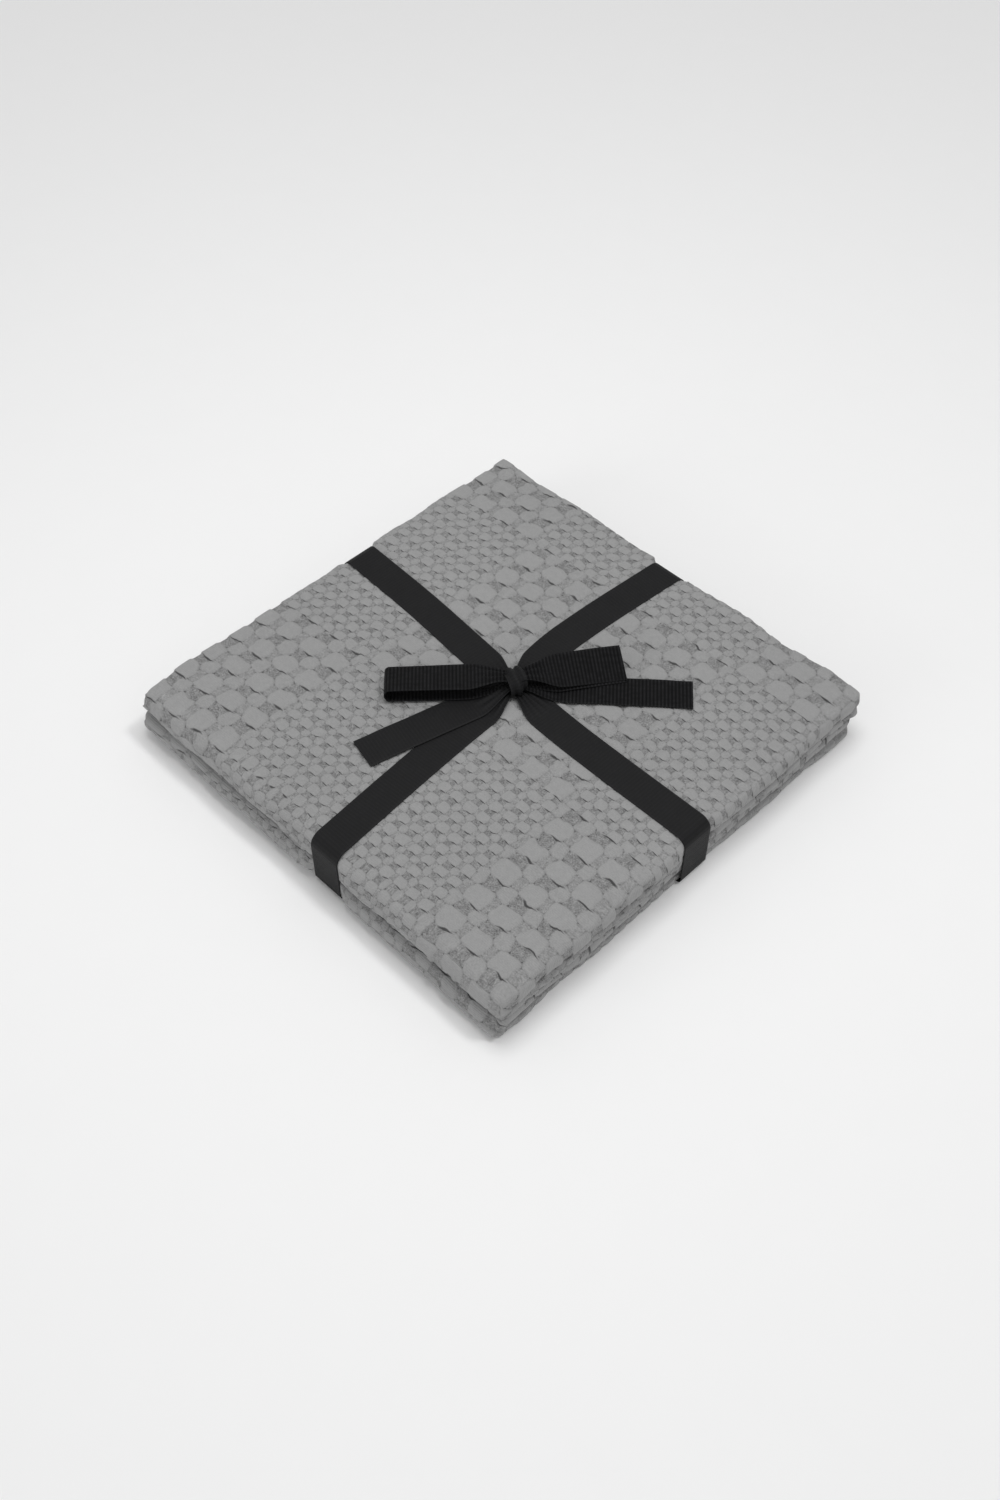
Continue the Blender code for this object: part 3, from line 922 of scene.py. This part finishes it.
def loop_rows(heading, reach, rise, end_rise, roll, low_roll, widths):
    """Rows and length of a bow loop: out along its upper run, round the end and back beneath."""
    floor = 0.0018 + 0.010 * math.sin(math.radians(low_roll))
    radius = (end_rise - floor) / 2
    turn_at = reach - radius
    way = [(0.001, 0.0085, 0.0), (0.010, 0.0112, 0.1 * roll), (0.40 * turn_at, rise, 0.65 * roll),
           (0.75 * turn_at, (rise + end_rise) / 2, roll)]
    for step in range(7):
        angle = math.radians(90.0 - 30.0 * step)
        way.append((turn_at + radius * math.cos(angle), floor + radius + radius * math.sin(angle),
                    roll + (low_roll - roll) * step / 6))
    way += [(0.60 * turn_at, floor, 0.6 * low_roll), (0.030, 0.0026, 0.0), (0.012, 0.0040, 0.0),
            (0.001, 0.0062, 0.0)]
    samples, length = smooth_way(way, 0.0006)
    rows = []
    for i, (distance, height, tilt) in enumerate(samples):
        before, after = samples[max(i - 1, 0)], samples[min(i + 1, len(samples) - 1)]
        slope = after[:2] - before[:2]
        slope /= max(np.linalg.norm(slope), 1e-9)
        angle = math.radians(heading)
        heading_dir = np.array((math.cos(angle), math.sin(angle), 0.0))
        up = heading_dir * -slope[1] + np.array((0.0, 0.0, slope[0]))
        share = float(gather(np.array(distance)))
        centre = bow_point(heading, distance, height)
        rows.append(pleated_row(centre, side_of(heading, tilt), up, widths, share, 3, 0.42,
                                phase=0.9))
    return rows, length


def tail_rows(heading, reach, widths, seed):
    """Rows and length of a tail from the knot to its square-cut end."""
    way = [(0.002, 0.0050), (0.012, 0.0026), (0.026, 0.0010), (0.045, 0.0008)]
    count = 8
    source = np.random.RandomState(seed)
    for i in range(1, count + 1):
        way.append((0.045 + (reach - 0.045) * i / count, 0.0007 + 0.0004 * source.rand()))
    samples, length = smooth_way(way, 0.0006)
    rows = []
    for distance, height in samples:
        share = float(gather(np.array(distance)))
        centre = bow_point(heading, distance, height)
        rows.append(pleated_row(centre, side_of(heading, 0.0), np.array((0, 0, 1.0)), widths, share, 4, 0.45))
    return rows, length


def knot_rows(widths):
    """Rows and length of the wrap that holds the bow: a pleated ring drawn tight."""
    angle = math.radians(KNOT_HEADING)
    axis = np.array((math.cos(angle), math.sin(angle), 0.0))
    side = np.array((-axis[1], axis[0], 0.0))
    middle = np.array((KNOT_AT[0], KNOT_AT[1], STACK_TOP + KNOT_RISE))
    rows, places = [], []
    count = 96
    for i in range(count):
        turn = 2 * math.pi * i / count
        out = side * math.cos(turn) + np.array((0, 0, 1.0)) * math.sin(turn)
        sway = axis * 0.0012 * math.sin(turn + 0.9)
        place = middle + sway + side * KNOT_HALF_WIDTH * math.cos(turn)
        place = place + np.array((0, 0, KNOT_HALF_HEIGHT * math.sin(turn)))
        places.append(place)
        share = 0.48 + 0.07 * math.sin(turn)
        row = pleated_row(place, axis, out, widths, share, 2, 0.38, phase=1.6 * math.sin(turn + 0.6))
        belly = (1 - (widths / abs(widths[0])) ** 2) * 0.0016
        rows.append(row + np.outer(belly, out))
    return rows, line_length(places, endless=True)


# Stage ------------
def studio_floor(settings):
    """The pale floor."""
    material, tree, shader = new_material("pale_floor")
    place = tree.nodes.new("ShaderNodeTexCoord").outputs["Object"]
    grain = noise(tree, place, 30.0, 3.0, 0.5)
    tone = (grain - 0.5) * 0.012 + 1.0
    tree.links.new(tinted(tree, (0.89, 0.89, 0.89), tone), shader.inputs["Base Color"])
    shader.inputs["Roughness"].default_value = 0.8
    build = bmesh.new()
    bmesh.ops.create_grid(build, x_segments=8, y_segments=8, size=settings.floor_size / 2)
    mesh = built_mesh("studio_floor", build)
    mesh.materials.append(material)
    floor = link_new("studio_floor", mesh)
    floor.location.z = -FLOOR_GAP


def sun_light(name, towards, spread, strength):
    """A light from far off, out of the direction given, with its spread in degrees."""
    light = bpy.data.lights.new(name, "SUN")
    light.energy = strength
    light.angle = math.radians(spread)
    link_new(name, light).rotation_euler = Vector(towards).to_track_quat("Z", "Y").to_euler()


def area_light(name, place, target, size, power):
    """A soft round light near the object, turned to a target."""
    light = bpy.data.lights.new(name, "AREA")
    light.shape = "DISK"
    light.size = size
    light.energy = power
    lamp = link_new(name, light)
    lamp.location = place
    lamp.rotation_euler = (Vector(target) - Vector(place)).to_track_quat("-Z", "Y").to_euler()


def studio_camera():
    """The camera, above the corner at +X and -Y."""
    data = bpy.data.cameras.new("view")
    data.type = "PERSP"
    data.sensor_width = 36.0
    data.sensor_fit = "AUTO"
    data.lens = CAMERA_LENS
    camera = link_new("view", data)
    azimuth, elevation = math.radians(CAMERA_AZIMUTH), math.radians(CAMERA_ELEVATION)
    back = Vector((math.sin(azimuth) * math.cos(elevation), -math.cos(azimuth) * math.cos(elevation),
                   math.sin(elevation)))
    camera.location = Vector(CAMERA_AIM) + back * CAMERA_FAR
    camera.rotation_euler = (-back).to_track_quat("-Z", "Y").to_euler()
    bpy.context.scene.camera = camera


# Operators ------------
class TOWELS_OT_stage(bpy.types.Operator):
    """Make the floor, the lights and the camera"""
    bl_idname = "towels.stage"
    bl_label = "Stage"

    def execute(self, context):
        settings = context.scene.stage_settings
        studio_floor(settings)
        studio_camera()
        sun_light("key", (0.40, 0.34, 1.0), 9.0, settings.key_strength)
        sun_light("fill", (-0.20, -1.0, 0.18), 35.0, settings.fill_strength)
        area_light("overhead", (0.02, 0.0, 1.30), (0.02, 0.0, 0.0), 0.60, settings.overhead_power)
        world = bpy.data.worlds.new("studio")
        world.use_nodes = True
        sky = world.node_tree.nodes["Background"]
        sky.inputs["Color"].default_value = (1.0, 1.0, 1.0, 1.0)
        sky.inputs["Strength"].default_value = settings.sky
        context.scene.world = world
        context.scene.view_settings.view_transform = "Standard"
        return {"FINISHED"}


class TOWELS_OT_lower_towel(bpy.types.Operator):
    """Weave and fold the lower towel"""
    bl_idname = "towels.lower_towel"
    bl_label = "Lower towel"

    def execute(self, context):
        seed = context.scene.towel_settings.seed
        make_towel("folded_towel_lower", "towel_lower", LOWER_LOW, LOWER_HIGH - LOWER_LOW, LOWER_HALF,
                   LOWER_SHIFT, 0.44, (0.012, 0.006), -1, 6, seed + 20, 0.0, 0.0028)
        return {"FINISHED"}


class TOWELS_OT_upper_towel(bpy.types.Operator):
    """Weave and fold the upper towel"""
    bl_idname = "towels.upper_towel"
    bl_label = "Upper towel"

    def execute(self, context):
        seed = context.scene.towel_settings.seed
        make_towel("folded_towel_upper", "towel_upper", UPPER_LOW, UPPER_HIGH - UPPER_LOW, STACK_HALF,
                   (0.0, 0.0), 0.34, (0.0, 0.0), 1, 7, seed, 0.0016, 0.0008)
        return {"FINISHED"}


class TOWELS_OT_bands(bpy.types.Operator):
    """Draw the two bands of ribbon round the stack"""
    bl_idname = "towels.bands"
    bl_label = "Bands"

    def execute(self, context):
        widths = width_places(31)
        ways = (("band_across_x", BAND_X_WAY, 0), ("band_across_y", BAND_Y_WAY, 1))
        for name, way, axis in ways:
            rows, length = band_rows(way, axis, BAND_LOWS[axis], widths)
            ribbon_piece(name, rows, widths, "stack", ["ribbon_band_" + "xy"[axis]],
                         False)
        return {"FINISHED"}


class TOWELS_OT_knot(bpy.types.Operator):
    """Wrap the knot"""
    bl_idname = "towels.knot"
    bl_label = "Knot"

    def execute(self, context):
        widths = width_places(41)
        rows, length = knot_rows(widths)
        ribbon_piece("knot_wrap", rows, widths, "stack", ["bow_knot"],
                     False,
                     endless=True)
        return {"FINISHED"}


class TOWELS_OT_loops(bpy.types.Operator):
    """Make the bow's two loops"""
    bl_idname = "towels.loops"
    bl_label = "Loops"

    def execute(self, context):
        widths = width_places(33)
        for side, sizes in (("left", LEFT_LOOP), ("right", RIGHT_LOOP)):
            rows, length = loop_rows(widths=widths, **sizes)
            start, end = (tuple(bow_point(sizes["heading"], r, 0.008)) for r in (0.002, 0.014))
            ribbon_piece("loop_" + side + "_ribbon", rows, widths, "stack", ["bow_loop_" + side],
                         True,
                         bend=("loop_" + side, start, end))
        return {"FINISHED"}


class TOWELS_OT_tails(bpy.types.Operator):
    """Make the bow's two tails"""
    bl_idname = "towels.tails"
    bl_label = "Tails"

    def execute(self, context):
        widths = width_places(33)
        for side, sizes in (("left", LEFT_TAIL), ("right", RIGHT_TAIL)):
            lift = sizes["lift_from"]
            rows, length = tail_rows(sizes["heading"], sizes["reach"], widths, 3)
            start, end = (tuple(bow_point(sizes["heading"], r, 0.001)) for r in (lift - 0.006, lift + 0.006))
            ribbon_piece("tail_" + side + "_ribbon", rows, widths, "stack",
                         ["bow_tail_" + side + "_held", "bow_tail_" + side + "_end"],
                         side == "right",
                         bend=("tail_" + side, start, end))
        return {"FINISHED"}


class TOWELS_PT_panel(bpy.types.Panel):
    """Lists the pieces that can be made"""
    bl_idname = "TOWELS_PT_panel"
    bl_label = "Tied bath towels"
    bl_space_type = "VIEW_3D"
    bl_region_type = "UI"
    bl_category = "Towels"

    def draw(self, context):
        layout = self.layout
        for step in STEPS:
            layout.operator(step.bl_idname)
        for group in ("towel_settings", "ribbon_settings", "stage_settings"):
            settings = getattr(context.scene, group)
            box = layout.box()
            for key in settings.__annotations__:
                box.prop(settings, key)


STEPS = (TOWELS_OT_stage, TOWELS_OT_lower_towel, TOWELS_OT_upper_towel, TOWELS_OT_bands, TOWELS_OT_knot,
         TOWELS_OT_loops, TOWELS_OT_tails)
SETTINGS = (("towel_settings", TowelSettings), ("ribbon_settings", RibbonSettings),
            ("stage_settings", StageSettings))


def register():
    for name, group in SETTINGS:
        bpy.utils.register_class(group)
        setattr(bpy.types.Scene, name, PointerProperty(type=group))
    for step in STEPS:
        bpy.utils.register_class(step)
    bpy.utils.register_class(TOWELS_PT_panel)


def unregister():
    bpy.utils.unregister_class(TOWELS_PT_panel)
    for step in reversed(STEPS):
        bpy.utils.unregister_class(step)
    for name, group in reversed(SETTINGS):
        delattr(bpy.types.Scene, name)
        bpy.utils.unregister_class(group)


def main():
    register()
    bpy.ops.towels.stage()
    bpy.ops.towels.lower_towel()
    bpy.ops.towels.upper_towel()
    bpy.ops.towels.bands()
    bpy.ops.towels.knot()
    bpy.ops.towels.loops()
    bpy.ops.towels.tails()
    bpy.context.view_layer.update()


if __name__ == "__main__":
    main()
